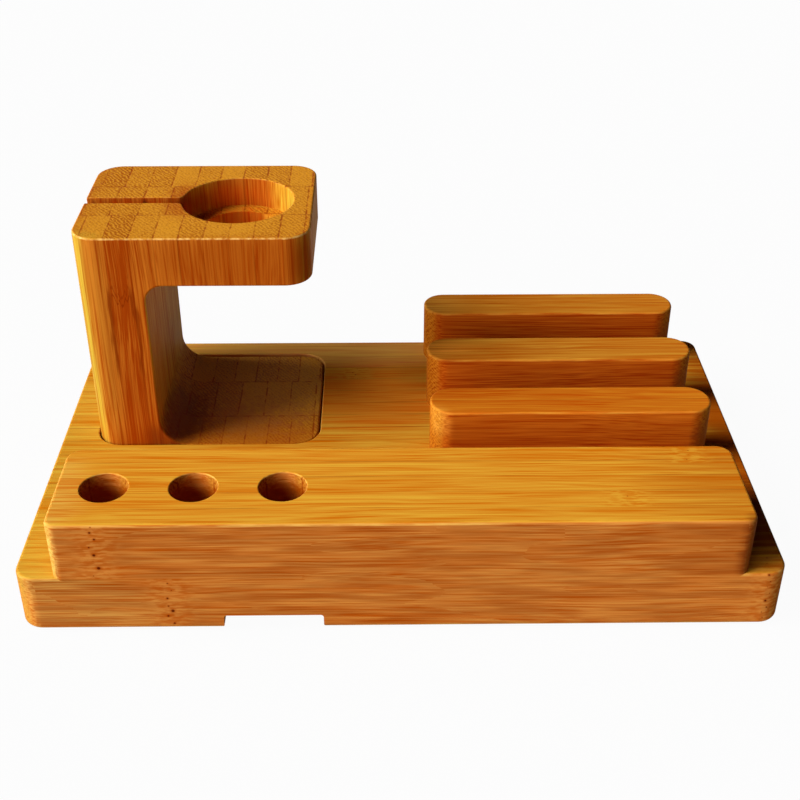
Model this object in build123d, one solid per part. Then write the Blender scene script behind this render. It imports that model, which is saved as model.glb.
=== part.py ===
from build123d import *
from math import hypot, sqrt
import os

# Charging station organizer in laminated bamboo, lengths in millimetres.
# X runs to the right, Y to the rear and Z up. The origin lies on the surface
# that the rubber pads stand on, under the middle of the board.

# Board
board_length = 190.0
board_thickness = 16.2
board_front_corner_radius = 5.5
board_rear_corner_radius = 4.0
board_under_edge_radius = 1.2

# Front bar, flush with the front of the board
bar_depth = 32.0
bar_height = 16.35
bar_inset = 9.8
bar_front_corner_radius = 2.8
bar_rear_corner_radius = 4.0

# Pen holes, right through the bar, with the board as their floor
pen_hole_diameter = 12.0
pen_hole_pitch = 22.0
pen_hole_count = 3
first_pen_hole_from_left = 21.8
pen_holes_from_front = 15.25
pen_hole_rim_radius = 0.3

# Dividers and the device slots between them
divider_count = 3
divider_length = 76.4
divider_thickness = 13.1
divider_height = 17.1
divider_corner_radius = 6.2
divider_from_right = 10.2
device_slot_width = 14.6
divider_edge_radius = 0.7

# Pocket for the foot of the watch stand
pocket_length = 63.0
pocket_width = 50.0
pocket_depth = 8.6
pocket_corner_radius = 7.5
pocket_from_left = 9.6
pocket_from_rear = 7.35
pocket_rim_radius = 0.4

# Watch stand
foot_side_clearance = 0.5
foot_seat_clearance = 0.3
stand_height = 71.5
foot_thickness = 7.8
arm_thickness = 13.85
column_thickness = 18.3
arm_fillet_radius = 4.7
foot_fillet_radius = 8.0
stand_edge_radius = 0.6

# Recess for the watch charger, with a smaller hole to push it out from below
charger_recess_diameter = 30.2
charger_recess_depth = 8.2
charger_recess_from_arm_end = 20.5
push_hole_diameter = 21.0
recess_rim_radius = 0.4

# Cable way from the charger recess over the arm and down the column
cable_slot_width = 3.7
cable_slot_depth = 6.0
column_groove_depth = 4.0
cable_bend_radius = 5.0
cable_slot_flare_radius = 2.0

# Cable way through the pocket floor and under the board to the front
plug_hole_length = 15.0
plug_hole_width = 8.0
plug_hole_from_pocket_side = 0.6
channel_width = 24.8
channel_height = 4.1
channel_from_left = 50.8
channel_roof_radius = 0.8
channel_mouth_radius = 1.1
channel_plan_radius = 6.0

# Countersunk wood screws, driven from below
screw_length = 28.0
screw_diameter = 3.5
screw_tip_length = 4.5
screw_head_diameter = 7.0
screw_head_height = 2.2
screw_head_recess = 0.3
screw_hole_clearance = 0.25
screw_pilot_clearance = 0.05
drive_slot_length = 4.0
drive_slot_width = 0.9
drive_slot_depth = 1.3
bar_screw_from_bar_rear = 7.0
bar_screw_place_shares = (0.59, 0.95)
divider_screw_spacing = 50.0

# Rubber pads
pad_diameter = 10.0
pad_height = 1.2
pad_edge_radius = 0.4
pad_from_side = 13.0
pad_from_front_or_rear = 10.0

# Common values
edge_radius = 0.8
overrun = 2.0
patch_depth = 2.0
match_tolerance = 0.002

# Places worked out from the driving sizes
board_depth = bar_depth + divider_count * (device_slot_width + divider_thickness)
left_side = -board_length / 2
right_side = board_length / 2
front_side = -board_depth / 2
rear_side = board_depth / 2
underside = pad_height
board_top = underside + board_thickness

bar_length = board_length - 2 * bar_inset
bar_top = board_top + bar_height
bar_middle_y = front_side + bar_depth / 2
bar_rear_y = front_side + bar_depth
pen_holes_y = front_side + pen_holes_from_front
pen_hole_places = [left_side + first_pen_hole_from_left + i * pen_hole_pitch for i in range(pen_hole_count)]

divider_middle_x = right_side - divider_from_right - divider_length / 2
divider_pitch = device_slot_width + divider_thickness
first_divider_y = bar_rear_y + device_slot_width + divider_thickness / 2
divider_names = ("divider_front", "divider_middle", "divider_rear")
divider_places = [first_divider_y + i * divider_pitch for i in range(divider_count)]

pocket_middle_x = left_side + pocket_from_left + pocket_length / 2
pocket_middle_y = rear_side - pocket_from_rear - pocket_width / 2
pocket_floor = board_top - pocket_depth

stand_length = pocket_length - 2 * foot_side_clearance
stand_width = pocket_width - 2 * foot_side_clearance
stand_corner_radius = pocket_corner_radius - foot_side_clearance
stand_bottom = pocket_floor + foot_seat_clearance
stand_top = stand_bottom + stand_height
stand_left = pocket_middle_x - stand_length / 2
stand_right = pocket_middle_x + stand_length / 2
charger_recess_x = stand_right - charger_recess_from_arm_end
charger_recess_floor = stand_top - charger_recess_depth

channel_middle_x = left_side + channel_from_left + channel_width / 2
plug_hole_x = pocket_middle_x - pocket_length / 2 + plug_hole_from_pocket_side + plug_hole_width / 2

screw_start = underside + screw_head_recess
bar_screw_y = bar_rear_y - bar_screw_from_bar_rear
between_pen_holes_x = (pen_hole_places[0] + pen_hole_places[1]) / 2
bar_screw_places = [between_pen_holes_x]
bar_screw_places += [-bar_length / 2 + share * bar_length for share in bar_screw_place_shares]


def block(length, depth, height, corner_radius):
    """Upright block with rounded corners, standing on Z = 0."""
    return extrude(RectangleRounded(length, depth, corner_radius), height)


def uneven_block(length, depth, height, front_corner_radius, rear_corner_radius):
    """Upright block whose rear corners are rounded otherwise than its front ones."""
    plan = Rectangle(length, depth)
    plan = fillet(plan.vertices().group_by(Axis.Y)[0], front_corner_radius)
    plan = fillet(plan.vertices().group_by(Axis.Y)[-1], rear_corner_radius)
    return extrude(plan, height)


def top_edges(solid):
    return solid.faces().sort_by(Axis.Z)[-1].edges()


def bottom_edges(solid):
    return solid.faces().sort_by(Axis.Z)[0].edges()


def circles_at(solid, radius, height):
    """Circular edges of one radius that lie at one height."""
    circles = solid.edges().filter_by(GeomType.CIRCLE)
    circles = circles.filter_by(lambda edge: abs(edge.radius - radius) < match_tolerance)
    return circles.filter_by(lambda edge: abs(edge.center().Z - height) < match_tolerance)


def bar_footprint(height):
    bar = uneven_block(bar_length, bar_depth, height, bar_front_corner_radius, bar_rear_corner_radius)
    return Pos(0, bar_middle_y, 0) * bar


def divider_footprint(place, height):
    solid = block(divider_length, divider_thickness, height, divider_corner_radius)
    return Pos(divider_middle_x, place, 0) * solid


def channel():
    """Cable way under the board: from the front notch to the hole in the pocket floor."""
    reach = pocket_middle_y + channel_width / 2 - front_side
    mouth = Rectangle(channel_width, channel_height + overrun)
    mouth = fillet(mouth.vertices().group_by(Axis.Y)[-1], channel_roof_radius)
    mouth = Pos(0, (channel_height - overrun) / 2) * mouth
    for side in (-1, 1):
        corner_x = side * (channel_width + channel_mouth_radius) / 2
        flare = Rectangle(channel_mouth_radius, channel_mouth_radius)
        flare = Pos(corner_x, channel_mouth_radius / 2) * flare
        round_x = side * (channel_width / 2 + channel_mouth_radius)
        flare -= Pos(round_x, channel_mouth_radius) * Circle(channel_mouth_radius)
        mouth += flare
    front_plane = Plane(
        origin=(channel_middle_x, front_side - overrun, underside), x_dir=(1, 0, 0), z_dir=(0, -1, 0)
    )
    run_to_rear = extrude(front_plane * mouth, -(reach - channel_plan_radius + overrun))
    plan_left = pocket_middle_x - pocket_length / 2
    plan_right = channel_middle_x + channel_width / 2
    plan_length = plan_right - plan_left
    plan = RectangleRounded(plan_length, channel_width, channel_plan_radius)
    run_to_left = extrude(plan, channel_height + overrun)
    run_to_left = Pos((plan_left + plan_right) / 2, pocket_middle_y, underside - overrun) * run_to_left
    return run_to_rear + run_to_left


def screw_hole(x, y, depth):
    """Clearance hole with a countersink, driven up from the underside of the board."""
    shank_radius = screw_diameter / 2 + screw_hole_clearance
    head_radius = screw_head_diameter / 2 + screw_pilot_clearance
    hole = Pos(0, 0, depth / 2) * Cylinder(shank_radius, depth)
    entry = Pos(0, 0, (screw_head_recess - overrun) / 2) * Cylinder(head_radius, screw_head_recess + overrun)
    seat = Pos(0, 0, screw_head_recess + screw_head_height / 2) * Cone(
        head_radius, screw_diameter / 2 + screw_pilot_clearance, screw_head_height
    )
    return Pos(x, y, underside) * (hole + entry + seat)


def pilot_hole(x, y):
    """Blind hole that the screw bites into."""
    depth = screw_start + screw_length - board_top + screw_pilot_clearance
    hole = Cylinder(screw_diameter / 2 + screw_pilot_clearance, depth)
    return Pos(x, y, board_top + depth / 2) * hole


def divider_screw_places(place):
    half = divider_screw_spacing / 2
    return [(divider_middle_x - half, place), (divider_middle_x + half, place)]


def all_screw_places():
    places = [(x, bar_screw_y) for x in bar_screw_places]
    for place in divider_places:
        places += divider_screw_places(place)
    return places


def base_board():
    board = uneven_block(
        board_length, board_depth, board_thickness, board_front_corner_radius, board_rear_corner_radius
    )
    board = fillet(top_edges(board), edge_radius)
    board = fillet(bottom_edges(board), board_under_edge_radius)
    board = Pos(0, 0, underside) * board
    # The top edge stays square where the bar and the rear divider are sanded flush with it.
    patch_bottom = Pos(0, 0, board_top - patch_depth)
    board += patch_bottom * bar_footprint(patch_depth)
    board += patch_bottom * divider_footprint(divider_places[-1], patch_depth)
    pocket = block(pocket_length, pocket_width, pocket_depth + overrun, pocket_corner_radius)
    board -= Pos(pocket_middle_x, pocket_middle_y, pocket_floor) * pocket
    rim = board.edges().filter_by(on_pocket_rim)
    board = fillet(rim, pocket_rim_radius)
    board -= channel()
    plug_hole = extrude(SlotOverall(plug_hole_length, plug_hole_width, rotation=90), pocket_floor)
    board -= Pos(plug_hole_x, pocket_middle_y, 0) * plug_hole
    for x, y in all_screw_places():
        board -= screw_hole(x, y, board_thickness + overrun)
    return board


def on_pocket_rim(edge):
    middle = edge.center()
    at_top = abs(middle.Z - board_top) < match_tolerance
    in_length = abs(middle.X - pocket_middle_x) < pocket_length / 2 + match_tolerance
    in_width = abs(middle.Y - pocket_middle_y) < pocket_width / 2 + match_tolerance
    return at_top and in_length and in_width


def front_bar():
    bar = Pos(0, 0, board_top) * bar_footprint(bar_height)
    bar = fillet(top_edges(bar), edge_radius)
    for x in pen_hole_places:
        bore = Cylinder(pen_hole_diameter / 2, bar_height + 2 * overrun)
        bar -= Pos(x, pen_holes_y, board_top + bar_height / 2) * bore
    bar = fillet(circles_at(bar, pen_hole_diameter / 2, bar_top), pen_hole_rim_radius)
    for x in bar_screw_places:
        bar -= pilot_hole(x, bar_screw_y)
    return bar


def divider(place):
    solid = Pos(0, 0, board_top) * divider_footprint(place, divider_height)
    solid = fillet(top_edges(solid), divider_edge_radius)
    for x, y in divider_screw_places(place):
        solid -= pilot_hole(x, y)
    return solid


def stand_window():
    """Opening of the C between the foot and the arm, with rounded inner corners."""
    height = stand_height - foot_thickness - arm_thickness
    length = stand_length - column_thickness + overrun
    window = Rectangle(length, height)
    foot_corner = window.vertices().group_by(Axis.X)[0].sort_by(Axis.Y)[0]
    window = fillet(foot_corner, foot_fillet_radius)
    arm_corner = window.vertices().group_by(Axis.Y)[-1].sort_by(Axis.X)[0]
    window = fillet(arm_corner, arm_fillet_radius)
    middle = (
        stand_left + column_thickness + length / 2,
        pocket_middle_y,
        stand_bottom + foot_thickness + height / 2,
    )
    side_plane = Plane(origin=middle, x_dir=(1, 0, 0), z_dir=(0, -1, 0))
    return extrude(side_plane * window, stand_width / 2 + overrun, both=True)


def cable_way():
    """Slot along the top of the arm, open to the groove down the back of the column."""
    slot_length = charger_recess_x - stand_left + overrun
    slot = Box(slot_length, cable_slot_width, cable_slot_depth + overrun)
    slot_x = charger_recess_x - slot_length / 2
    slot = Pos(slot_x, pocket_middle_y, stand_top - (cable_slot_depth - overrun) / 2) * slot
    groove = Box(column_groove_depth + overrun, cable_slot_width, stand_height + 2 * overrun)
    groove_x = stand_left + (column_groove_depth - overrun) / 2
    groove = Pos(groove_x, pocket_middle_y, stand_bottom + stand_height / 2) * groove
    way = slot + groove
    bend_x = stand_left + column_groove_depth
    bend_z = stand_top - cable_slot_depth
    bend = way.edges().filter_by(Axis.Y).sort_by_distance((bend_x, pocket_middle_y, bend_z))[0]
    return fillet(bend, cable_bend_radius)


def at_slot_mouth(edge):
    """True for the upright corners where the cable slot opens into the charger recess."""
    half_slot = cable_slot_width / 2
    mouth_x = charger_recess_x - sqrt((charger_recess_diameter / 2) ** 2 - half_slot**2)
    middle = edge.center()
    beside_slot = abs(abs(middle.Y - pocket_middle_y) - half_slot) < match_tolerance
    return beside_slot and abs(middle.X - mouth_x) < match_tolerance


def on_charger_rim(edge):
    """True for the top edges of the charger recess, of the cable slot and of its flares."""
    middle = edge.center()
    at_top = abs(middle.Z - stand_top) < match_tolerance
    off_middle = abs(middle.Y - pocket_middle_y)
    in_recess = hypot(middle.X - charger_recess_x, off_middle) < charger_recess_diameter / 2
    on_slot = off_middle < cable_slot_width / 2 + cable_slot_flare_radius
    clear_of_end = middle.X > stand_left + stand_edge_radius + match_tolerance
    return at_top and (in_recess or (on_slot and clear_of_end and middle.X < charger_recess_x))


def watch_stand():
    stand = block(stand_length, stand_width, stand_height, stand_corner_radius)
    stand = Pos(pocket_middle_x, pocket_middle_y, stand_bottom) * stand
    stand -= stand_window()
    stand = fillet(stand.edges(), stand_edge_radius)
    recess = Cylinder(charger_recess_diameter / 2, charger_recess_depth + overrun)
    recess_z = charger_recess_floor + (charger_recess_depth + overrun) / 2
    stand -= Pos(charger_recess_x, pocket_middle_y, recess_z) * recess
    push_hole = Cylinder(push_hole_diameter / 2, arm_thickness + overrun)
    stand -= Pos(charger_recess_x, pocket_middle_y, stand_top - arm_thickness / 2) * push_hole
    stand = fillet(circles_at(stand, push_hole_diameter / 2, stand_top - arm_thickness), recess_rim_radius)
    stand -= cable_way()
    stand = fillet(stand.edges().filter_by(Axis.Z).filter_by(at_slot_mouth), cable_slot_flare_radius)
    return fillet(stand.edges().filter_by(on_charger_rim), recess_rim_radius)


def wood_screw():
    """Countersunk screw standing on its head, with a cross recess in the head."""
    head = Cone(screw_head_diameter / 2, screw_diameter / 2, screw_head_height)
    head = Pos(0, 0, screw_head_height / 2) * head
    shank_length = screw_length - screw_head_height - screw_tip_length
    shank_z = screw_head_height + shank_length / 2
    shank = Pos(0, 0, shank_z) * Cylinder(screw_diameter / 2, shank_length)
    tip = Pos(0, 0, screw_length - screw_tip_length / 2) * Cone(screw_diameter / 2, 0, screw_tip_length)
    screw = head + shank + tip
    for angle in (0, 90):
        slot = Box(drive_slot_length, drive_slot_width, 2 * drive_slot_depth)
        screw -= Rot(0, 0, angle) * slot
    return screw


def screws_at(places):
    screw = wood_screw()
    return Compound(children=[Pos(x, y, screw_start) * screw for x, y in places])


def rubber_pad(side, end):
    """Round stick-on pad near one corner; side and end are -1 or 1."""
    pad = Pos(0, 0, pad_height / 2) * Cylinder(pad_diameter / 2, pad_height)
    pad = fillet(bottom_edges(pad), pad_edge_radius)
    x = side * (board_length / 2 - pad_from_side)
    y = end * (board_depth / 2 - pad_from_front_or_rear)
    return Pos(x, y, 0) * pad


def save(solid, node):
    export_step(solid, f"parts/{node}.step")


os.makedirs("parts", exist_ok=True)
save(base_board(), "base_board")
save(front_bar(), "front_bar")
save(watch_stand(), "watch_stand")
save(screws_at([(x, bar_screw_y) for x in bar_screw_places]), "front_bar_screws")
for name, place in zip(divider_names, divider_places):
    save(divider(place), name)
    save(screws_at(divider_screw_places(place)), f"{name}_screws")
for side, side_name in ((-1, "left"), (1, "right")):
    for end, end_name in ((-1, "front"), (1, "rear")):
        save(rubber_pad(side, end), f"rubber_pad_{end_name}_{side_name}")
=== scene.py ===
from math import cos, radians, sin

import bpy
from mathutils import Matrix, Vector


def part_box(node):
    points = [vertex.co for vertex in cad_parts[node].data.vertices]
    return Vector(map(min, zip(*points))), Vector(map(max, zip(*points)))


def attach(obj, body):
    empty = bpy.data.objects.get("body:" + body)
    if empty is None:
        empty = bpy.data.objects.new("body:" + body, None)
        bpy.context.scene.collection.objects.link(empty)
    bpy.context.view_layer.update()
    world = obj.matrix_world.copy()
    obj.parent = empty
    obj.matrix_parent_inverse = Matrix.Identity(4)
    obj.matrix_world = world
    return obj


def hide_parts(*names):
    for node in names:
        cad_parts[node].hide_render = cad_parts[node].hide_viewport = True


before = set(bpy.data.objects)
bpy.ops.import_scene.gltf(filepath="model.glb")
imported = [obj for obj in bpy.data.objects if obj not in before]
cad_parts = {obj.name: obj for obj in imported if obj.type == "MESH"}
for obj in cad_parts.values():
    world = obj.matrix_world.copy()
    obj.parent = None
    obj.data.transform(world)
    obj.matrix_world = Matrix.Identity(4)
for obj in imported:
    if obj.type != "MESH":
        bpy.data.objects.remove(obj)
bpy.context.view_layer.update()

# Charging station organizer in laminated bamboo. Meshes, camera and lights are in metres.
# The patterns of the materials are worked out in millimetres of the same frame.

# Camera, as the photograph was taken
CAMERA_PLACE = (-0.003935, -0.294075, 0.219096)
CAMERA_TURN = radians(-0.821)
CAMERA_TILT = radians(-32.486)
CAMERA_ROLL = radians(0.107)
CAMERA_SEES_FROM = 0.01
CAMERA_SEES_TO = 50.0
SENSOR_WIDTH = 36.0
FOCAL_LENGTH = 56.9

# Light: a broad soft source on the left, slightly in front, a weak low fill from the
# front and a dim even room. Each is its turn from the left, height, spread and strength.
KEY_LIGHT = (radians(12.0), radians(38.0), radians(38.0), 4.9)
FILL_LIGHT = (radians(53.0), radians(13.0), radians(40.0), 1.65)
ROOM_STRENGTH = 0.012

FLOOR_SIZE = 8.0
FLOOR_DROP = 0.00005
FLOOR_COLOR = (0.4, 0.4, 0.4)
FLOOR_WHITE_SHARE = 0.96

# Wood screws as in the part, head down. Heights are measured from the head's face.
SCREW_LENGTH = 0.028
SCREW_THREAD_RADIUS = 0.00175
SCREW_CORE_RADIUS = 0.00119
SCREW_HEAD_RADIUS = 0.0035
SCREW_HEAD_EDGE = 0.00025
SCREW_HEAD_HEIGHT = 0.0022
SCREW_NECK_END = 0.0072
SCREW_CORE_START = 0.0076
SCREW_TIP_LENGTH = 0.0045
SCREW_TIP_RADIUS = 0.00006
SCREW_TIP_BLUNT = 0.0001
SCREW_SIDES = 36
SCREW_SMOOTH_ANGLE = radians(35.0)
THREAD_PITCH = 0.0013
THREAD_TURNS = 13
THREAD_STEPS = 24
THREAD_DEPTH_IN_CORE = 0.00004
THREAD_END_GAP = 0.0015
THREAD_TAPER_STEP = 0.0005
THREAD_TAPER_STEPS = 8
CROSS_LENGTH = 0.004
CROSS_WIDTH = 0.0009
CROSS_DEPTH = 0.0013
CROSS_FLOOR_SHARE = 0.55
SCREW_PLACES = {
    "front_bar_screws": ((-0.0622, -0.03255), (0.015336, -0.03255), (0.07668, -0.03255)),
    "divider_front_screws": ((0.0216, -0.0044), (0.0716, -0.0044)),
    "divider_middle_screws": ((0.0216, 0.0233), (0.0716, 0.0233)),
    "divider_rear_screws": ((0.0216, 0.0510), (0.0716, 0.0510)),
}

# Bamboo. "narrow", "wide" and "cut" are the strips' narrow edges, wide sides and cut
# ends, each with the light and the dark colour of its grain. The rest are tones laid on:
# lighter wear with a painted highlight on rims, and painted shade, shadow, light and sheen.
BOARD_COLORS = {
    "narrow": ((0.69, 0.35, 0.030), (0.56, 0.13, 0.001)),
    "wide": ((0.73, 0.28, 0.050), (0.53, 0.092, 0.002)),
    "cut": ((0.60, 0.25, 0.028), (0.32, 0.07, 0.003)),
    "wear_and_highlight": (0.80, 0.48, 0.10),
    # Painted tones: shade, darker cast shadow, redder shade, sheen and light
    "painted_shade": (0.35, 0.055, 0.0),
    "dark": (0.15, 0.025, 0.003),
    "painted_red_shade": (0.80, 0.12, 0.005),
    "painted_sheen": (0.60, 0.32, 0.11),
    "painted_light": (0.78, 0.52, 0.12),
}
DIVIDER_COLORS = {
    "narrow": ((0.56, 0.185, 0.010), (0.43, 0.060, 0.001)),
    "wide": ((0.64, 0.155, 0.009), (0.42, 0.050, 0.001)),
    "cut": ((0.58, 0.20, 0.012), (0.30, 0.05, 0.001)),
    "wear_and_highlight": (0.66, 0.28, 0.03),
    # Painted tones: shade on the right ends, strong light and light on the left ends in the
    # stand's shadow
    "dull": (0.42, 0.12, 0.018),
    "painted_strong_light": (0.92, 0.29, 0.026),
    "painted_light": (0.85, 0.43, 0.056),
}
# The middle and rear dividers: darker sides as painted shade, more olive tops as painted sheen
SHADE_AND_SHEEN_DIVIDER_COLORS = {
    **DIVIDER_COLORS,
    "narrow": ((0.57, 0.25, 0.023), (0.43, 0.088, 0.002)),
    "wide": ((0.58, 0.13, 0.008), (0.36, 0.040, 0.001)),
}
STAND_COLORS = {
    "narrow": ((0.60, 0.165, 0.012), (0.38, 0.050, 0.001)),
    "wide": ((0.68, 0.40, 0.034), (0.46, 0.13, 0.003)),
    "cut": ((0.62, 0.26, 0.016), (0.31, 0.070, 0.001)),
    "wear_and_highlight": (0.95, 0.60, 0.18),
    # Painted tones: shade, darker shade, redder shade and sheen
    "painted_shade": (0.33, 0.045, 0.0),
    "dark": (0.15, 0.02, 0.004),
    "painted_red_shade": (0.75, 0.06, 0.0),
    "painted_sheen": (0.45, 0.20, 0.07),
}
GLUE_COLOR = (0.24, 0.028, 0.0)
RUST_COLOR = (0.42, 0.055, 0.0)
KNOT_COLOR = (0.10, 0.008, 0.0)
# Painted light: makes a lit face yellower
PAINTED_YELLOW_LIGHT_TINT = (0.88, 1.15, 1.4)
SHEEN_TINT = (1.0, 0.72, 0.30)
NARROW_TONE_MIDDLE = 1.425
NARROW_TONE_SPREAD = 0.375
BAMBOO_BUMP = (0.35, 0.0001)

STEEL_DULL = (0.50, 0.49, 0.47)
STEEL_BRIGHT = (0.68, 0.68, 0.70)
STEEL_SCRATCH = (0.82, 0.82, 0.82)
STEEL_BUMP = (0.3, 0.00005)

RUBBER_BLACK = (0.018, 0.018, 0.019)
RUBBER_DUSTY = (0.050, 0.047, 0.043)
RUBBER_SCUFFED = (0.075, 0.072, 0.068)
RUBBER_GLOSS = 0.4
RUBBER_BUMP = (0.4, 0.00008)

# Lengths in the patterns, in millimetres
MM_PER_M = 1000.0
STRIP_WIDTH = 6.6
HALF_STRIP = 3.3
STRIP_FADE = 0.1
JOINT_WANDER = 0.5
FIBRE_WANDER = 5.0
PORE_PITCH = 2.1
WEAR_AND_HIGHLIGHT_FADE = 20.0
NOWHERE = 500.0          # beyond the part on every side

# Other numbers in the patterns
NUMBERS_PER_PLY = 37.0
KNOT_TALLNESS = 2.5
SCAR_TURN_PER_MM = 2.4
FULL_TURN = 6.2832

PEN_HOLES_X = (-73.2, -51.2, -29.2)
PEN_HOLES_Y = -42.3


def deselect_all():
    bpy.ops.object.select_all(action="DESELECT")


def look_direction(turn, tilt):
    return Vector((-sin(turn) * cos(tilt), cos(turn) * cos(tilt), sin(tilt)))


def add_camera():
    forward = look_direction(CAMERA_TURN, CAMERA_TILT)
    level_right = Vector((cos(CAMERA_TURN), sin(CAMERA_TURN), 0.0))
    level_up = level_right.cross(forward)
    right = level_right * cos(CAMERA_ROLL) + level_up * sin(CAMERA_ROLL)
    up = level_up * cos(CAMERA_ROLL) - level_right * sin(CAMERA_ROLL)
    data = bpy.data.cameras.new("camera")
    data.sensor_width = SENSOR_WIDTH
    data.lens = FOCAL_LENGTH
    data.clip_start = CAMERA_SEES_FROM
    data.clip_end = CAMERA_SEES_TO
    camera = bpy.data.objects.new("camera", data)
    turn = Matrix((right, up, -forward)).transposed().to_4x4()
    camera.matrix_world = Matrix.Translation(CAMERA_PLACE) @ turn
    bpy.context.scene.collection.objects.link(camera)
    bpy.context.scene.camera = camera


def add_light(name, turn_from_left, height, spread, strength):
    data = bpy.data.lights.new(name, "SUN")
    data.energy = strength
    data.angle = spread
    light = bpy.data.objects.new(name, data)
    to_light = Vector((
        -cos(turn_from_left) * cos(height),
        -sin(turn_from_left) * cos(height),
        sin(height),
    ))
    light.rotation_mode = "QUATERNION"
    light.rotation_quaternion = to_light.to_track_quat("Z", "Y")
    bpy.context.scene.collection.objects.link(light)


# Small helpers for shader nodes

def put(tree, kind, **settings):
    node = tree.nodes.new(kind)
    for name, value in settings.items():
        setattr(node, name, value)
    return node


def feed(tree, node, socket, value):
    """Links an output to an input socket, or sets the socket to a plain value."""
    target = node.inputs[socket]
    if isinstance(value, bpy.types.NodeSocket):
        tree.links.new(value, target)
    elif target.type == "RGBA" and len(value) == 3:
        target.default_value = (*value, 1.0)
    else:
        target.default_value = value


def calc(tree, operation, *values):
    node = put(tree, "ShaderNodeMath", operation=operation)
    for i, value in enumerate(values):
        feed(tree, node, i, value)
    return node.outputs[0]


def vector_calc(tree, operation, *values):
    node = put(tree, "ShaderNodeVectorMath", operation=operation)
    for i, value in enumerate(values):
        feed(tree, node, i, value)
    return node.outputs["Value" if operation in ("DOT_PRODUCT", "LENGTH") else "Vector"]


def sum_up(tree, start, *parts):
    """Adds (value, weight) pairs to a start value."""
    total = start
    for value, weight in parts:
        total = calc(tree, "MULTIPLY_ADD", value, weight, total)
    return total


def product(tree, first, *others):
    for value in others:
        first = calc(tree, "MULTIPLY", first, value)
    return first


def split(tree, vector):
    node = put(tree, "ShaderNodeSeparateXYZ")
    feed(tree, node, 0, vector)
    return node.outputs


def join(tree, x, y, z):
    node = put(tree, "ShaderNodeCombineXYZ")
    for i, value in enumerate((x, y, z)):
        feed(tree, node, i, value)
    return node.outputs[0]


def ramp(tree, value, low, high, to_low=0.0, to_high=1.0, soft=True):
    """Maps low..high to to_low..to_high, clamped, with soft ends unless told otherwise."""
    kind = "SMOOTHSTEP" if soft else "LINEAR"
    node = put(tree, "ShaderNodeMapRange", interpolation_type=kind)
    for i, number in enumerate((value, low, high, to_low, to_high)):
        feed(tree, node, i, number)
    return node.outputs[0]


def fade(tree, value, low, high):
    """1 up to low, and softly down to 0 at high."""
    return ramp(tree, value, low, high, 1.0, 0.0)


def blend_colors(tree, share, first, second):
    node = put(tree, "ShaderNodeMix", data_type="RGBA")
    for socket, value in ((0, share), (6, first), (7, second)):
        feed(tree, node, socket, value)
    return node.outputs[2]


def lay_on(tree, color, mask, share, other):
    """Lays another colour over the first where the mask shows, at most to the share."""
    return blend_colors(tree, calc(tree, "MULTIPLY", mask, share), color, other)


def noise(tree, place, per_mm, detail=2.0, roughness=0.5):
    """Soft noise about 0.5; per_mm is how often it changes along each of its axes."""
    node = put(tree, "ShaderNodeTexNoise")
    feed(tree, node, "Vector", vector_calc(tree, "MULTIPLY", place, per_mm))
    feed(tree, node, "Scale", 1.0)
    feed(tree, node, "Detail", detail)
    feed(tree, node, "Roughness", roughness)
    return node.outputs[0]


def sway(tree, place, per_mm, detail):
    """Noise about 0, which bends a line to one side or the other."""
    return calc(tree, "SUBTRACT", noise(tree, place, per_mm, detail), 0.5)


def slow_sway(tree, place):
    """Changes over about the width of a strip."""
    return sway(tree, place, (0.1, 0.25, 0.25), 1.0)


def cells(tree, place, per_mm):
    """Distance to the nearest of many scattered points, in cell widths."""
    node = put(tree, "ShaderNodeTexVoronoi")
    feed(tree, node, "Vector", vector_calc(tree, "MULTIPLY", place, per_mm))
    feed(tree, node, "Scale", 1.0)
    return node.outputs["Distance"]


def throw_dice(tree, number):
    """A value and a colour of chance that depend only on the number."""
    dice = put(tree, "ShaderNodeTexWhiteNoise", noise_dimensions="1D")
    feed(tree, dice, "W", number)
    return dice.outputs["Value"], dice.outputs["Color"]


def edge_between(tree, rise, low, full, fading, high):
    """The rounded edge between an upright and a level face, told by how its normal rises."""
    return product(tree, ramp(tree, rise, low, full), fade(tree, rise, fading, high))


# The bamboo's effects, as shader node groups. Their places are in millimetres along,
# across and up the grain; only tone patches are placed in the part's own frame.

def new_group(name, inputs, outputs):
    """A shader node group; an input's kind follows from its default value."""
    tree = bpy.data.node_groups.new(name, "ShaderNodeTree")
    for label, default in inputs.items():
        kind = "NodeSocketVector" if isinstance(default, tuple) else "NodeSocketFloat"
        socket = tree.interface.new_socket(name=label, in_out="INPUT", socket_type=kind)
        socket.default_value = default
    for label in outputs:
        tree.interface.new_socket(name=label, in_out="OUTPUT", socket_type="NodeSocketFloat")
    given = tree.nodes.new("NodeGroupInput").outputs
    result = tree.nodes.new("NodeGroupOutput").inputs
    return tree, given, result


def put_out(tree, result, **values):
    for name, value in values.items():
        tree.links.new(value, result[name.replace("_", " ")])


def use_group(tree, group, **values):
    node = put(tree, "ShaderNodeGroup", node_tree=group)
    for name, value in values.items():
        feed(tree, node, name.replace("_", " "), value)
    return node.outputs


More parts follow.
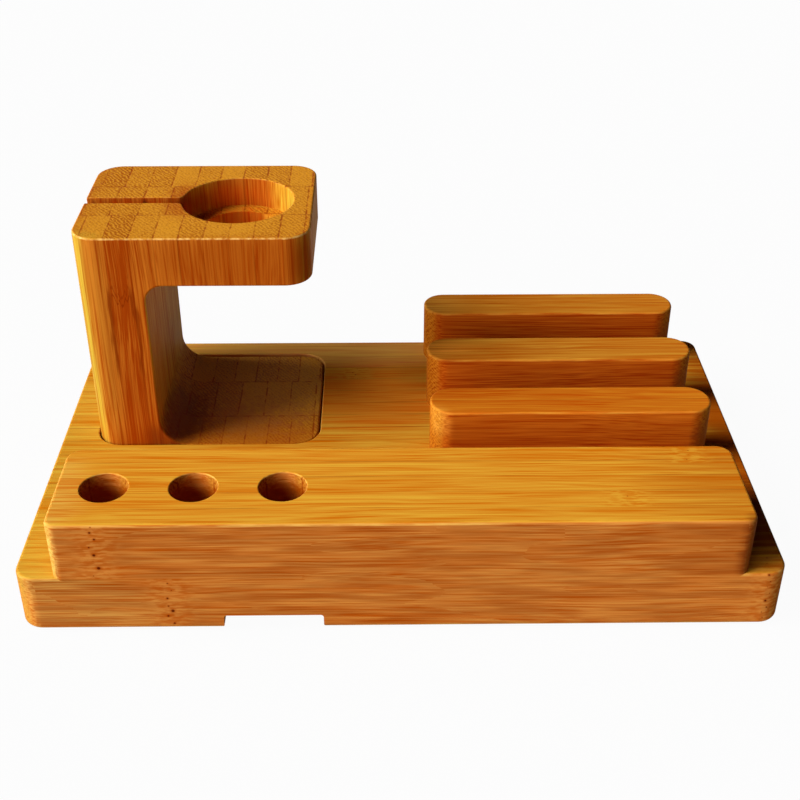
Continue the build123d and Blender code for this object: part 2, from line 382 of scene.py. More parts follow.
def lamination_group():
    """Which strip of the lamination a point lies in, and how near a glue line it is."""
    tree, given, result = new_group(
        "lamination",
        {
            "Place": (0, 0, 0),
            "Strip widths": (STRIP_WIDTH, STRIP_WIDTH, STRIP_WIDTH),
            "First joints": (0, 0, 0),
            "Ply joints": (NOWHERE, NOWHERE, 0),
            "Seed": 0.0,
        },
        ("Strip", "Across", "Glue line"),
    )
    _, across, up = split(tree, given["Place"])
    first_ply, second_ply, _ = split(tree, given["Ply joints"])
    past_first = calc(tree, "GREATER_THAN", up, first_ply)
    past_second = calc(tree, "GREATER_THAN", up, second_ply)
    in_first = calc(tree, "SUBTRACT", 1.0, past_first)
    in_middle = calc(tree, "SUBTRACT", past_first, past_second)
    in_ply = join(tree, in_first, in_middle, past_second)
    width = vector_calc(tree, "DOT_PRODUCT", given["Strip widths"], in_ply)
    start = vector_calc(tree, "DOT_PRODUCT", given["First joints"], in_ply)

    wander = sway(tree, given["Place"], (0.02, 0.1, 0.1), 1.0)
    shifted = sum_up(tree, across, (wander, JOINT_WANDER))
    count = calc(tree, "DIVIDE", calc(tree, "SUBTRACT", shifted, start), width)
    part = calc(tree, "FRACT", count)
    ply = calc(tree, "ADD", past_first, past_second)
    number = sum_up(tree, calc(tree, "FLOOR", count), (ply, NUMBERS_PER_PLY))

    nearer_side = calc(tree, "MINIMUM", part, calc(tree, "SUBTRACT", 1.0, part))
    to_joint = calc(tree, "MULTIPLY", nearer_side, width)
    to_first = calc(tree, "ABSOLUTE", calc(tree, "SUBTRACT", up, first_ply))
    to_second = calc(tree, "ABSOLUTE", calc(tree, "SUBTRACT", up, second_ply))
    nearest = calc(tree, "MINIMUM", to_joint, calc(tree, "MINIMUM", to_first, to_second))
    patchy = ramp(tree, noise(tree, given["Place"], (0.05, 0.4, 0.4)), 0.35, 0.65, 0.25, 1.0)
    thickness = sum_up(tree, 0.3, (patchy, 1.0))
    line = fade(tree, calc(tree, "DIVIDE", nearest, thickness), 0.06, 0.30)
    put_out(
        tree, result, Strip=calc(tree, "ADD", number, given["Seed"]), Across=part,
        Glue_line=product(tree, line, patchy),
    )
    return tree


def grain_group():
    """Bamboo fibre inside one strip: long lines on its sides, hatched dots on its ends."""
    tree, given, result = new_group(
        "bamboo grain",
        {"Place": (0, 0, 0), "Strip": 0.0, "Across": 0.5, "Crossed": 0.0},
        ("Fine lines", "Dark lines", "Streaks", "Clouds", "Bundles", "Tint"),
    )
    tint, chance = throw_dice(tree, given["Strip"])
    strip_shift = vector_calc(tree, "MULTIPLY", chance, (400.0, 60.0, 60.0))
    place = vector_calc(tree, "ADD", given["Place"], strip_shift)
    bend = product(tree, sway(tree, place, (0.012, 0.03, 0.03), 1.0), FIBRE_WANDER)
    place = vector_calc(tree, "ADD", place, join(tree, 0.0, bend, bend))
    fine = noise(tree, place, (0.035, 2.2, 2.2), 1.5, 0.8)
    dark = noise(tree, place, (0.03, 1.2, 1.2), 1.0, 0.6)
    streaks = noise(tree, place, (0.016, 0.6, 0.6), 2.0, 0.6)
    clouds = noise(tree, place, (0.02, 0.07, 0.07), 2.0)

    # Fibre bundles on the cut ends stand in slanting rows, which a second slant may cross
    row_bend = noise(tree, place, (0.01, 0.5, 0.5), 2.0)
    slants = []
    for steps in ((0.002, 0.8, 0.6), (0.002, 1.1, -1.0)):
        row = vector_calc(tree, "DOT_PRODUCT", given["Place"], steps)
        row = sum_up(tree, row, (row_bend, 2.0))
        slants.append(calc(tree, "SINE", product(tree, row, FULL_TURN)))
    rows = sum_up(tree, slants[0], (slants[1], given["Crossed"]))
    rows = calc(tree, "DIVIDE", rows, sum_up(tree, 1.0, (given["Crossed"], 0.7)))
    rows = product(tree, rows, ramp(tree, tint, 0.0, 1.0, 0.15, 0.32))
    crowding = ramp(tree, given["Across"], 0.0, 1.0, 0.48, 0.62, soft=False)
    dots = fade(tree, cells(tree, place, (0.011, 1.5, 1.3)), 0.1, crowding)
    put_out(
        tree, result, Fine_lines=fine, Dark_lines=ramp(tree, dark, 0.55, 0.68),
        Streaks=streaks, Clouds=clouds, Bundles=sum_up(tree, rows, (dots, 0.55)), Tint=tint,
    )
    return tree


def facing_group():
    """How a face lies: cut end or wide side of the strips, or a rim of the piece."""
    tree, given, result = new_group(
        "facing", {"Normal": (0, 0, 1), "Rise": 0.0}, ("Cut end", "Wide side", "Rim"),
    )
    squares = vector_calc(tree, "MULTIPLY", given["Normal"], given["Normal"])
    cut, wide, _ = split(tree, squares)
    rise = calc(tree, "ABSOLUTE", given["Rise"])
    put_out(
        tree, result, Cut_end=ramp(tree, cut, 0.03, 0.40), Wide_side=ramp(tree, wide, 0.10, 0.55),
        Rim=edge_between(tree, rise, 0.10, 0.35, 0.75, 0.97),
    )
    return tree


def knot_group():
    """Where the culm had a node: a row of dark pores across one strip, in a mottled band."""
    tree, given, result = new_group(
        "knot",
        {"Place": (0, 0, 0), "Knot place": (0, 0, 0), "Pore size": 0.3},
        ("Pores", "Halo", "Band", "Mottle"),
    )
    apart = vector_calc(tree, "SUBTRACT", given["Place"], given["Knot place"])
    along, across, up = split(tree, apart)
    beside = calc(tree, "ABSOLUTE", across)
    above = calc(tree, "DIVIDE", calc(tree, "ABSOLUTE", up), KNOT_TALLNESS)
    off_strip = calc(tree, "MAXIMUM", beside, above)
    in_strip = fade(tree, off_strip, HALF_STRIP, HALF_STRIP + STRIP_FADE)

    side = calc(tree, "DIVIDE", calc(tree, "ADD", across, up), PORE_PITCH)
    knot_along = split(tree, given["Knot place"])[0]
    pore_number = calc(tree, "ADD", calc(tree, "FLOOR", side), knot_along)
    shift, lift, size = split(tree, throw_dice(tree, pore_number)[1])
    to_pore = join(
        tree,
        sum_up(tree, -0.9, (along, 1.0), (shift, 1.8)),
        sum_up(tree, -1.6, (calc(tree, "FRACT", side), PORE_PITCH), (lift, 1.1)),
        0.0,
    )
    reach = calc(tree, "MULTIPLY", given["Pore size"], sum_up(tree, 0.15, (size, 1.1)))
    pore = calc(tree, "DIVIDE", vector_calc(tree, "LENGTH", to_pore), reach)

    bend = slow_sway(tree, given["Place"])
    away = calc(tree, "ABSOLUTE", sum_up(tree, along, (bend, 4.0)))
    freckles = noise(tree, given["Place"], (0.35, 1.3, 1.3), 2.0)
    put_out(
        tree, result,
        Pores=product(tree, fade(tree, pore, 0.6, 1.4), in_strip),
        Halo=product(tree, fade(tree, pore, 1.0, 3.0), in_strip),
        Band=product(tree, fade(tree, away, 1.5, 8.0), in_strip),
        Mottle=ramp(tree, freckles, 0.38, 0.62),
    )
    return tree


def patch_group():
    """A soft, streaky patch of another tone round a place, out to its reach."""
    tree, given, result = new_group(
        "tone patch",
        {"Place": (0, 0, 0), "Middle": (0, 0, 0), "Reach": (9, 9, 9), "Streaks": 0.5},
        ("Patch",),
    )
    apart = vector_calc(tree, "SUBTRACT", given["Place"], given["Middle"])
    distance = vector_calc(tree, "LENGTH", vector_calc(tree, "DIVIDE", apart, given["Reach"]))
    distance = sum_up(tree, distance, (given["Streaks"], -0.8))
    put_out(tree, result, Patch=fade(tree, distance, 0.0, 0.6))
    return tree


def scar_group():
    """The nested V that a leaf stem leaves in one strip, with stained joints beside it."""
    tree, given, result = new_group(
        "leaf scar", {"Place": (0, 0, 0), "Scar place": (0, 0, 0)}, ("Dark", "Stain")
    )
    apart = vector_calc(tree, "SUBTRACT", given["Place"], given["Scar place"])
    along, across, _ = split(tree, apart)
    bend = slow_sway(tree, given["Place"])
    shred = sway(tree, given["Place"], (0.12, 1.8, 1.8), 2.0)
    aside = calc(tree, "ABSOLUTE", sum_up(tree, across, (bend, 1.5)))

    above = sum_up(tree, along, (aside, -1.5), (bend, 4.0), (shred, 6.0))
    nested = ramp(tree, calc(tree, "COSINE", product(tree, above, SCAR_TURN_PER_MM)), 0.0, 0.9)
    inside = product(
        tree, ramp(tree, above, -0.8, 0.0), fade(tree, above, 0.5, 7.0),
        fade(tree, aside, 2.2, 3.2),
    )

    past_joint = sum_up(tree, aside, (shred, 1.6), (bend, 1.0), (-HALF_STRIP, 1.0))
    to_joint = calc(tree, "ABSOLUTE", past_joint)
    spread = product(tree, ramp(tree, along, -26.0, -16.0), fade(tree, along, 2.0, 7.0))
    patchy = ramp(tree, noise(tree, given["Place"], (0.1, 0.5, 0.5), 2.0), 0.28, 0.46)
    stain = product(tree, fade(tree, to_joint, 0.2, 0.9), product(tree, spread, patchy))
    put_out(tree, result, Dark=product(tree, nested, inside), Stain=stain)
    return tree


# Finishes

def new_material(name):
    """An empty material with a shader, its output, object coordinates in mm and normals."""
    material = bpy.data.materials.new(name)
    material.use_nodes = True
    tree = material.node_tree
    tree.nodes.clear()
    shader = put(tree, "ShaderNodeBsdfPrincipled")
    output = put(tree, "ShaderNodeOutputMaterial")
    tree.links.new(shader.outputs[0], output.inputs[0])
    coordinates = put(tree, "ShaderNodeTexCoord").outputs
    in_mm = vector_calc(tree, "MULTIPLY", coordinates["Object"], (MM_PER_M, MM_PER_M, MM_PER_M))
    return material, tree, shader, in_mm, coordinates["Normal"]


def add_bump(tree, shader, height, strength, depth):
    bump = put(tree, "ShaderNodeBump")
    feed(tree, bump, "Strength", strength)
    feed(tree, bump, "Distance", depth)
    feed(tree, bump, "Height", height)
    feed(tree, shader, "Normal", bump.outputs[0])


def grain_colors(tree, colors, grain, facing, darker, tints, contrast, fineness):
    """The colour of the plain grain on every face, and how dark its narrow edges are."""
    clouds, tint, dark = grain["Clouds"], grain["Tint"], grain["Dark lines"]
    fine, streaks = grain["Fine lines"], grain["Streaks"]
    narrow_tone = sum_up(
        tree, darker - tints / 2,
        (clouds, 0.30), (tint, tints), (dark, 0.20), (fine, 1.25 + fineness),
        (streaks, 1.15 - fineness),
    )
    spread = NARROW_TONE_SPREAD / contrast
    narrow_tone = ramp(
        tree, narrow_tone, NARROW_TONE_MIDDLE - spread, NARROW_TONE_MIDDLE + spread, soft=False
    )
    narrow = blend_colors(tree, narrow_tone, *colors["narrow"])
    wide_tone = sum_up(
        tree, darker - tints / 4,
        (clouds, 0.08), (tint, tints / 2), (dark, 0.12), (fine, 1.9), (streaks, 0.35),
    )
    wide = blend_colors(tree, ramp(tree, wide_tone, 0.89, 1.59, soft=False), *colors["wide"])
    bundles = product(tree, grain["Bundles"], sum_up(tree, 0.65, (tint, 0.8)))
    cut_tone = sum_up(tree, darker, (clouds, 0.25), (tint, 0.5), (bundles, 1.15))
    cut = blend_colors(tree, ramp(tree, cut_tone, 0.05, 1.25, soft=False), *colors["cut"])
    sides = blend_colors(tree, facing["Wide side"], narrow, wide)
    return blend_colors(tree, facing["Cut end"], sides, cut), narrow_tone


def lay_patches(tree, color, colors, patches, place, streaks, narrow_tone):
    """Lays painted shade, shadow, light and sheen on the grain. Of the painted light, the pale
    tones show less in its dark lines.
    """
    for tone, middle, reach, share in patches:
        patch = use_group(
            tree, groups["patch"], Place=place, Middle=middle, Reach=reach, Streaks=streaks
        )
        mask = product(tree, patch["Patch"], share)
        if tone in ("painted_light", "painted_strong_light"):
            mask = product(tree, mask, ramp(tree, narrow_tone, 0.0, 0.7, 1.0, 0.2, soft=False))
        if tone == "sallow":
            toned = vector_calc(tree, "MULTIPLY", color, PAINTED_YELLOW_LIGHT_TINT)
        else:
            toned = colors[tone]
        color = blend_colors(tree, mask, color, toned)
    return color


def lay_marks(tree, color, colors, place, knots, scars):
    """Lays knots and leaf scars on the grain."""
    for knot_place, pore_size, face in knots:
        marks = use_group(
            tree, groups["knot"], Place=place, Knot_place=knot_place, Pore_size=pore_size
        )
        mottle = blend_colors(tree, marks["Mottle"], *colors[face])
        color = lay_on(tree, color, marks["Band"], 0.5, mottle)
        color = lay_on(tree, color, marks["Halo"], 0.55, RUST_COLOR)
        color = lay_on(tree, color, marks["Pores"], 0.95, KNOT_COLOR)
    for scar_place in scars:
        marks = use_group(tree, groups["scar"], Place=place, Scar_place=scar_place)
        dark_marks = calc(tree, "MAXIMUM", marks["Dark"], marks["Stain"])
        color = lay_on(tree, color, dark_marks, 0.8, GLUE_COLOR)
    return color


def bamboo(name, colors, upright=False, widths=(STRIP_WIDTH, STRIP_WIDTH, STRIP_WIDTH),
           joints=(0, 0, 0), plies=(NOWHERE, NOWHERE, 0), seed=0.0, darker=0.0, tints=0.16,
           crossed=0.6, gloss=0.008, contrast=1.0, fineness=0.0, wear_and_highlight_above=0.0,
           wear_and_highlight_until=(NOWHERE, NOWHERE), patches=(), knots=(), scars=()):
    """Laminated bamboo. Its grain runs along x, or along z where it stands upright.

    widths and joints give the strips' width and one joint in each of up to three plies, and
    plies how far up the grain's frame these meet. tints is how much the strips differ, and
    crossed how much a second slant crosses the rows on cut ends. Rims get lighter wear and a
    painted highlight above a height and up to an x and a y. A patch is a tone, middle, reach
    and share, mostly painted shade, shadow, light or sheen; a knot is its place, pore size and
    face, and a scar its place. Patches, wear and highlight are placed in the part's frame, the
    rest in the grain's.
    """
    material, tree, shader, in_mm, normal = new_material(name)
    x, y, height = split(tree, in_mm)
    normal_x, normal_y, rise = split(tree, normal)
    place = in_mm
    if upright:
        place, normal = join(tree, height, x, y), join(tree, rise, normal_x, normal_y)
    strips = use_group(
        tree, groups["lamination"], Place=place, Strip_widths=widths,
        First_joints=joints, Ply_joints=plies, Seed=seed,
    )
    glue_line = strips["Glue line"]
    grain = use_group(
        tree, groups["grain"], Place=place, Strip=strips["Strip"], Across=strips["Across"],
        Crossed=crossed,
    )
    facing = use_group(tree, groups["facing"], Normal=normal, Rise=rise)

    color, narrow_tone = grain_colors(
        tree, colors, grain, facing, darker, tints, contrast, fineness
    )
    color = lay_patches(tree, color, colors, patches, in_mm, grain["Streaks"], narrow_tone)
    glue_share = ramp(tree, facing["Cut end"], 0.0, 1.0, 0.4, 0.85)
    color = lay_on(tree, color, glue_line, glue_share, GLUE_COLOR)
    chips = noise(tree, place, (0.12, 0.9, 0.9), 3.0)
    chips = ramp(tree, chips, 0.38, 0.68, 0.1, 0.7, soft=False)
    # Lighter chipped wear on the rims, with a painted highlight where the light falls on them
    rim = product(tree, facing["Rim"], ramp(tree, height, wear_and_highlight_above, wear_and_highlight_above + 1.0))
    for distance, limit in zip((x, y), wear_and_highlight_until):
        rim = product(tree, rim, ramp(tree, distance, limit, limit + WEAR_AND_HIGHLIGHT_FADE, 1.0, 0.2))
    color = lay_on(tree, color, rim, chips, colors["wear_and_highlight"])
    color = lay_marks(tree, color, colors, place, knots, scars)

    feed(tree, shader, "Base Color", color)
    feed(tree, shader, "Roughness", ramp(tree, grain["Fine lines"], 0.3, 0.7, 0.55, 0.7))
    feed(tree, shader, "Specular IOR Level", gloss)
    feed(tree, shader, "Specular Tint", SHEEN_TINT)
    relief = sum_up(tree, grain["Fine lines"], (grain["Bundles"], -0.4), (glue_line, -0.8))
    add_bump(tree, shader, relief, *BAMBOO_BUMP)
    return material


def screw_steel():
    """Zinc plated steel: dull blotches of a darker film, fine turning marks and scratches."""
    material, tree, shader, in_mm, _ = new_material("screw_steel_zinc")
    blotches = noise(tree, in_mm, (0.7, 0.7, 0.7), 3.0)
    turning = noise(tree, in_mm, (0.8, 0.8, 9.0), 2.0)
    scratches = ramp(tree, noise(tree, in_mm, (2.0, 9.0, 2.0), 2.0), 0.62, 0.70)
    film = ramp(tree, sum_up(tree, 0.0, (blotches, 0.7), (turning, 0.3)), 0.42, 0.60)
    color = blend_colors(tree, film, STEEL_DULL, STEEL_BRIGHT)
    feed(tree, shader, "Base Color", lay_on(tree, color, scratches, 0.5, STEEL_SCRATCH))
    feed(tree, shader, "Metallic", 1.0)
    feed(tree, shader, "Roughness", ramp(tree, film, 0.0, 1.0, 0.48, 0.30))
    add_bump(tree, shader, sum_up(tree, turning, (scratches, -0.6)), *STEEL_BUMP)
    return material


def pad_rubber():
    """Moulded black rubber: a fine pebbled skin, greyer dust and a scuffed rim."""
    material, tree, shader, in_mm, normal = new_material("pad_rubber_black")
    pebbles = cells(tree, in_mm, (2.6, 2.6, 2.6))
    dust = ramp(tree, noise(tree, in_mm, (0.5, 0.5, 0.5), 4.0), 0.45, 0.70)
    rise = calc(tree, "ABSOLUTE", split(tree, normal)[2])
    rim = edge_between(tree, rise, 0.15, 0.45, 0.75, 0.97)
    color = blend_colors(tree, dust, RUBBER_BLACK, RUBBER_DUSTY)
    feed(tree, shader, "Base Color", lay_on(tree, color, rim, 0.6, RUBBER_SCUFFED))
    feed(tree, shader, "Roughness", ramp(tree, dust, 0.0, 1.0, 0.62, 0.85))
    feed(tree, shader, "Specular IOR Level", RUBBER_GLOSS)
    add_bump(tree, shader, sum_up(tree, pebbles, (dust, 0.3)), *RUBBER_BUMP)
    return material


# Threaded screws, which stand for the part's plain ones

def select_vertices(mesh_object, wanted):
    """Selects the vertices whose place fits; leaves edit mode on."""
    bpy.ops.object.mode_set(mode="EDIT")
    bpy.ops.mesh.select_all(action="DESELECT")
    bpy.ops.object.mode_set(mode="OBJECT")
    for vertex in mesh_object.data.vertices:
        vertex.select = wanted(vertex.co)
    bpy.ops.object.mode_set(mode="EDIT")


def narrow_selected(share, height):
    """Draws the selected vertices in towards the screw's axis; height is the level kept."""
    bpy.ops.transform.resize(value=(share, share, 1.0), center_override=(0, 0, height))


def point_faces_outwards():
    """Works on the open mesh, and leaves edit mode."""
    bpy.ops.mesh.select_all(action="SELECT")
    bpy.ops.mesh.normals_make_consistent(inside=False)
    bpy.ops.object.mode_set(mode="OBJECT")


def apply_modifier(mesh_object, kind, **settings):
    modifier = mesh_object.modifiers.new(kind.lower(), kind)
    for name, value in settings.items():
        setattr(modifier, name, value)
    bpy.context.view_layer.objects.active = mesh_object
    bpy.ops.object.modifier_apply(modifier=modifier.name)


def delete_object(mesh_object):
    deselect_all()
    mesh_object.select_set(True)
    bpy.ops.object.delete()


def screw_body():
    """Countersunk head, smooth neck, thin core and point, drawn out of one disc."""
    deselect_all()
    bpy.ops.mesh.primitive_circle_add(
        vertices=SCREW_SIDES, radius=SCREW_HEAD_RADIUS, fill_type="NGON"
    )
    body = bpy.context.object
    bpy.ops.object.mode_set(mode="EDIT")
    bpy.ops.mesh.select_all(action="SELECT")
    rings = (
        (SCREW_HEAD_EDGE, SCREW_HEAD_RADIUS),
        (SCREW_HEAD_HEIGHT, SCREW_THREAD_RADIUS),
        (SCREW_NECK_END, SCREW_THREAD_RADIUS),
        (SCREW_CORE_START, SCREW_CORE_RADIUS),
        (SCREW_LENGTH - SCREW_TIP_LENGTH, SCREW_CORE_RADIUS),
        (SCREW_LENGTH - SCREW_TIP_BLUNT, SCREW_TIP_RADIUS),
    )
    height, radius = 0.0, SCREW_HEAD_RADIUS
    for next_height, next_radius in rings:
        step = (0, 0, next_height - height)
        bpy.ops.mesh.extrude_region_move(TRANSFORM_OT_translate={"value": step})
        narrow_selected(next_radius / radius, next_height)
        height, radius = next_height, next_radius
    point_faces_outwards()
    cut_cross(body)
    return body


def cut_cross(body):
    """Cuts the recess for a cross-headed driver, one slot at a time."""
    for turn in (0.0, 90.0):
        deselect_all()
        bpy.ops.mesh.primitive_cube_add(
            size=1.0, rotation=(0, 0, radians(turn)),
            scale=(CROSS_LENGTH, CROSS_WIDTH, 2.0 * CROSS_DEPTH),
        )
        bit = bpy.context.object
        bpy.ops.object.transform_apply(location=True, rotation=True, scale=True)
        select_vertices(bit, lambda place: place.z > 0.0)
        narrow_selected(CROSS_FLOOR_SHARE, CROSS_DEPTH)
        bpy.ops.object.mode_set(mode="OBJECT")
        apply_modifier(body, "BOOLEAN", object=bit, operation="DIFFERENCE", solver="EXACT")
        delete_object(bit)


def screw_thread():
    """Three-cornered ridge wound round the core, thinning out with the point."""
    deselect_all()
    ridge_height = SCREW_THREAD_RADIUS - SCREW_CORE_RADIUS + THREAD_DEPTH_IN_CORE
    ridge_radius = ridge_height / 1.5        # a triangle is 1.5 of its radius high
    start = SCREW_LENGTH - THREAD_END_GAP - THREAD_TURNS * THREAD_PITCH
    bpy.ops.mesh.primitive_circle_add(
        vertices=3, radius=ridge_radius, location=(SCREW_THREAD_RADIUS - ridge_radius, 0, start),
        rotation=(radians(90.0), radians(90.0), 0),
    )
    thread = bpy.context.object
    bpy.ops.object.transform_apply(location=True, rotation=True, scale=True)
    apply_modifier(
        thread, "SCREW", steps=THREAD_STEPS, render_steps=THREAD_STEPS,
        iterations=THREAD_TURNS, screw_offset=THREAD_PITCH, use_merge_vertices=True,
    )
    bpy.ops.object.mode_set(mode="EDIT")
    bpy.ops.mesh.select_all(action="SELECT")
    bpy.ops.mesh.fill_holes(sides=3)
    bpy.ops.object.mode_set(mode="OBJECT")
    for step in range(THREAD_TAPER_STEPS):
        low = SCREW_LENGTH - SCREW_TIP_LENGTH + step * THREAD_TAPER_STEP
        select_vertices(thread, lambda place: place.z > low)
        narrow_selected(1.0 - THREAD_TAPER_STEP / (SCREW_LENGTH - low), low)
        bpy.ops.object.mode_set(mode="OBJECT")
    bpy.ops.object.mode_set(mode="EDIT")
    point_faces_outwards()
    return thread


def join_objects(first, *others):
    deselect_all()
    for mesh_object in (first, *others):
        mesh_object.select_set(True)
    bpy.context.view_layer.objects.active = first
    bpy.ops.object.join()
    return first


def copy_to(original, place):
    """A copy of an object with its own mesh, moved to a place that its mesh holds."""
    deselect_all()
    original.select_set(True)
    bpy.context.view_layer.objects.active = original
    bpy.ops.object.duplicate(linked=False)
    copy = bpy.context.object
    bpy.ops.transform.translate(value=place)
    bpy.ops.object.transform_apply(location=True, rotation=True, scale=True)
    return copy


def add_screws(steel):
    """One threaded screw, modelled once and copied to where each plain screw of the part is."""
    screw = join_objects(screw_body(), screw_thread())
    screw.data.materials.append(steel)
    deselect_all()
    screw.select_set(True)
    bpy.ops.object.shade_smooth_by_angle(angle=SCREW_SMOOTH_ANGLE)
    for node, places in SCREW_PLACES.items():
        head_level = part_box(node)[0][2]
        piece = join_objects(*[copy_to(screw, (x, y, head_level)) for x, y in places])
        piece.name = node + "_threaded"
        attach(piece, "organizer_base")
        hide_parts(node)
    delete_object(screw)


# Floor and room

def seen_directly(tree):
    """1 for camera, mirror and glass rays, which see the white room, and 0 for the rest."""
    path = put(tree, "ShaderNodeLightPath").outputs
    direct = calc(tree, "MAXIMUM", path["Is Camera Ray"], path["Is Glossy Ray"])
    return calc(tree, "MAXIMUM", direct, path["Is Transmission Ray"])


def add_floor():
    deselect_all()
    bpy.ops.mesh.primitive_plane_add(size=FLOOR_SIZE, location=(0, 0, -FLOOR_DROP))
    floor = bpy.context.object
    floor.name = "floor"
    material = bpy.data.materials.new("floor_white")
    material.use_nodes = True
    tree = material.node_tree
    tree.nodes.clear()
    paper = put(tree, "ShaderNodeBsdfDiffuse")
    feed(tree, paper, "Color", FLOOR_COLOR)
    white = put(tree, "ShaderNodeEmission")
    mix = put(tree, "ShaderNodeMixShader")
    feed(tree, mix, 0, product(tree, seen_directly(tree), FLOOR_WHITE_SHARE))
    feed(tree, mix, 1, paper.outputs[0])
    feed(tree, mix, 2, white.outputs[0])
    feed(tree, put(tree, "ShaderNodeOutputMaterial"), 0, mix.outputs[0])
    floor.data.materials.append(material)


def add_room():
    world = bpy.data.worlds.new("room")
    world.use_nodes = True
    tree = world.node_tree
    tree.nodes.clear()
    room = put(tree, "ShaderNodeBackground")
    feed(tree, room, "Color", (1, 1, 1))
    strength = ramp(tree, seen_directly(tree), 0.0, 1.0, ROOM_STRENGTH, 1.0, soft=False)
    feed(tree, room, "Strength", strength)
    feed(tree, put(tree, "ShaderNodeOutputWorld"), 0, room.outputs[0])
    bpy.context.scene.world = world


def dress(node_name, material):
    """Gives a CAD node its finish."""
    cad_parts[node_name].material_slots[0].material = material


bpy.context.scene.view_settings.view_transform = "Standard"
add_camera()
add_light("key", *KEY_LIGHT)
add_light("fill", *FILL_LIGHT)
add_room()
add_floor()

groups = {
    "lamination": lamination_group(),
    "grain": grain_group(),
    "facing": facing_group(),
    "knot": knot_group(),
    "patch": patch_group(),
    "scar": scar_group(),
}
board = bamboo(
    "board_bamboo", BOARD_COLORS, joints=(-57.55, 0, 0), seed=11.0,
    patches=(
        # painted shade on the right end, painted shadow of the bar on the strip beside it,
        # painted redder shade in the middle, painted shade on the left edge, painted light on the
        # left end, painted sheen on the rear edge, painted light on the front left
        ("painted_shade", (99.0, 5.0, 12.0), (21.0, 90.0, 30.0), 0.9),
        ("dark", (91.0, -35.0, 18.0), (14.0, 22.0, 6.0), 0.75),
        ("painted_red_shade", (-6.0, 25.0, 17.0), (34.0, 24.0, 9.0), 0.4),
        ("painted_shade", (-96.0, 20.0, 18.0), (16.0, 40.0, 9.0), 0.18),
        ("sallow", (-97.0, -5.0, 18.5), (50.0, 100.0, 9.0), 0.9),
        ("painted_sheen", (-20.0, 58.0, 18.0), (90.0, 20.0, 6.0), 0.35),
        ("painted_light", (-84.0, -62.0, 8.0), (44.0, 14.0, 14.0), 0.3),
    ),
    knots=(
        ((-57.2, -54.25, 9.0), 0.36, "wide"),
        ((90.5, -54.25, 9.0), 0.26, "wide"),
        ((-13.0, 38.15, 17.0), 0.12, "narrow"),
    ),
)
bar = bamboo(
    "bar_bamboo", BOARD_COLORS, widths=(6.4, 6.4, 6.4), joints=(-57.55, 0, 0), seed=211.0,
    wear_and_highlight_until=(15.0, NOWHERE),
    patches=(
        # painted shade on the right end and front right edge, painted light on the left end's
        # top, a painted highlight on the front left edge, painted shade in the pen holes
        ("painted_shade", (92.0, -40.0, 24.0), (42.0, 40.0, 40.0), 0.4),
        ("dark", (85.2, -57.0, 25.0), (5.0, 5.0, 16.0), 0.75),
        ("painted_light", (-88.0, -46.0, 36.0), (16.0, 26.0, 6.0), 0.5),
        ("painted_light", (-85.2, -57.6, 26.0), (3.5, 4.5, 14.0), 0.9),
        *(("painted_shade", (x, PEN_HOLES_Y, 27.0), (14.0, 14.0, 7.0), 0.9) for x in PEN_HOLES_X),
    ),
    knots=(
        ((-74.0, -54.35, 25.0), 0.36, "wide"),
        ((55.1, -48.0, 33.0), 0.14, "narrow"),
        ((73.1, -30.0, 33.0), 0.14, "narrow"),
    ),
)
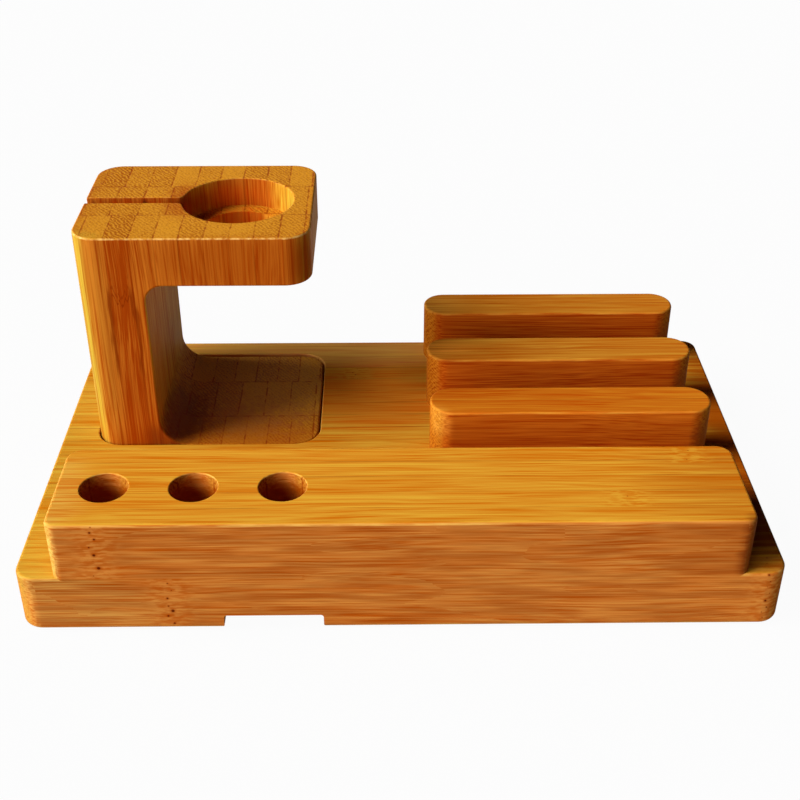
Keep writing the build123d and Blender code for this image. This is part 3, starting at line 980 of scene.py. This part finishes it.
stand = bamboo(
    "stand_bamboo", STAND_COLORS, upright=True, widths=(6.42, 7.45, 6.49),
    joints=(-82.24, -76.63, -82.13), plies=(15.2, 34.2, 0), seed=411.0, darker=0.01, tints=0.42,
    crossed=0.15, gloss=0.045, contrast=1.4, fineness=0.3, wear_and_highlight_above=79.0,
    wear_and_highlight_until=(NOWHERE, 6.0),
    patches=(
        # painted shade on the front of the foot, the left face painted darker to hold back the
        # light it throws on the board, painted shade on the left wall and inside of the recess
        # and round the push hole
        ("painted_shade", (-50.0, -2.0, 16.0), (44.0, 36.0, 12.0), 0.6),
        ("painted_shade", (-89.0, 25.0, 45.0), (11.0, 80.0, 90.0), 0.42),
        ("painted_shade", (-59.0, 25.0, 77.0), (7.0, 18.0, 9.0), 0.5),
        ("painted_red_shade", (-50.0, 30.0, 75.5), (18.0, 18.0, 6.0), 0.4),
        ("painted_red_shade", (-43.4, 25.2, 69.0), (17.0, 17.0, 8.0), 0.4),
        # painted shade in the cable slot, painted light on the right wall of the recess and the
        # front left edge, painted shade on the left wall of the recess
        ("painted_red_shade", (-71.0, 27.5, 76.8), (18.0, 3.0, 3.8), 0.5),
        ("sallow", (-28.3, 25.0, 76.0), (8.0, 14.0, 5.0), 0.8),
        ("sallow", (-84.9, 1.0, 50.0), (12.0, 8.0, 60.0), 0.85),
        ("dark", (-57.0, 28.0, 75.5), (10.0, 17.0, 6.0), 0.45),
        # painted shade on the right end, front and front right corner of the arm
        ("painted_shade", (-21.0, 25.0, 74.0), (5.0, 50.0, 14.0), 0.38),
        ("painted_shade", (-40.0, 0.0, 73.5), (34.0, 6.0, 12.0), 0.45),
        ("painted_shade", (-22.9, 2.0, 73.0), (6.0, 8.0, 12.0), 0.6),
        # painted sheen on the top of the foot, painted shade in its corner with the column and at
        # two places in the cable slot
        ("painted_sheen", (-49.0, 34.0, 17.0), (44.0, 34.0, 4.0), 0.25),
        ("dark", (-63.5, 14.0, 19.0), (12.5, 23.0, 7.5), 0.62),
        *(("dark", (x, 27.5, 77.0), (1.6, 2.2, 3.6), 1.0) for x in (-83.0, -69.1)),
    ),
    scars=((61.3, -72.8, 1.0),),
)
dress("base_board", board)
dress("front_bar", bar)
dress("watch_stand", stand)

# Each divider's name, middle, colours, seed, darkness as painted shade, and the painted light on
# its left end where the stand's shadow falls
DIVIDERS = (
    ("front", -4.4, DIVIDER_COLORS, 611.0, 0.0,
     ("painted_light", (9.0, -10.0, 31.0), (7.0, 5.0, 7.0), 0.5)),
    ("middle", 23.3, SHADE_AND_SHEEN_DIVIDER_COLORS, 631.0, 0.04,
     ("painted_strong_light", (8.0, 23.3, 36.0), (22.0, 12.0, 3.0), 1.0)),
    ("rear", 51.0, SHADE_AND_SHEEN_DIVIDER_COLORS, 651.0, 0.12,
     ("painted_light", (8.0, 51.0, 36.0), (22.0, 12.0, 3.0), 0.9)),
)
for name, middle, colors, seed, darker, lit_left_end in DIVIDERS:
    # Painted shade on the divider's right end
    shaded_right_end = ("dull", (84.8, middle, 24.0), (9.0, 12.0, 11.0), 0.7)
    divider = bamboo(
        "divider_bamboo_" + name, colors, widths=(6.925, 6.925, 6.925), joints=(-4.4, 0, 0),
        seed=seed, darker=darker, crossed=1.0, patches=(lit_left_end, shaded_right_end),
    )
    dress("divider_" + name, divider)

add_screws(screw_steel())
rubber = pad_rubber()
for name in ("front_left", "front_right", "rear_left", "rear_right"):
    dress("rubber_pad_" + name, rubber)
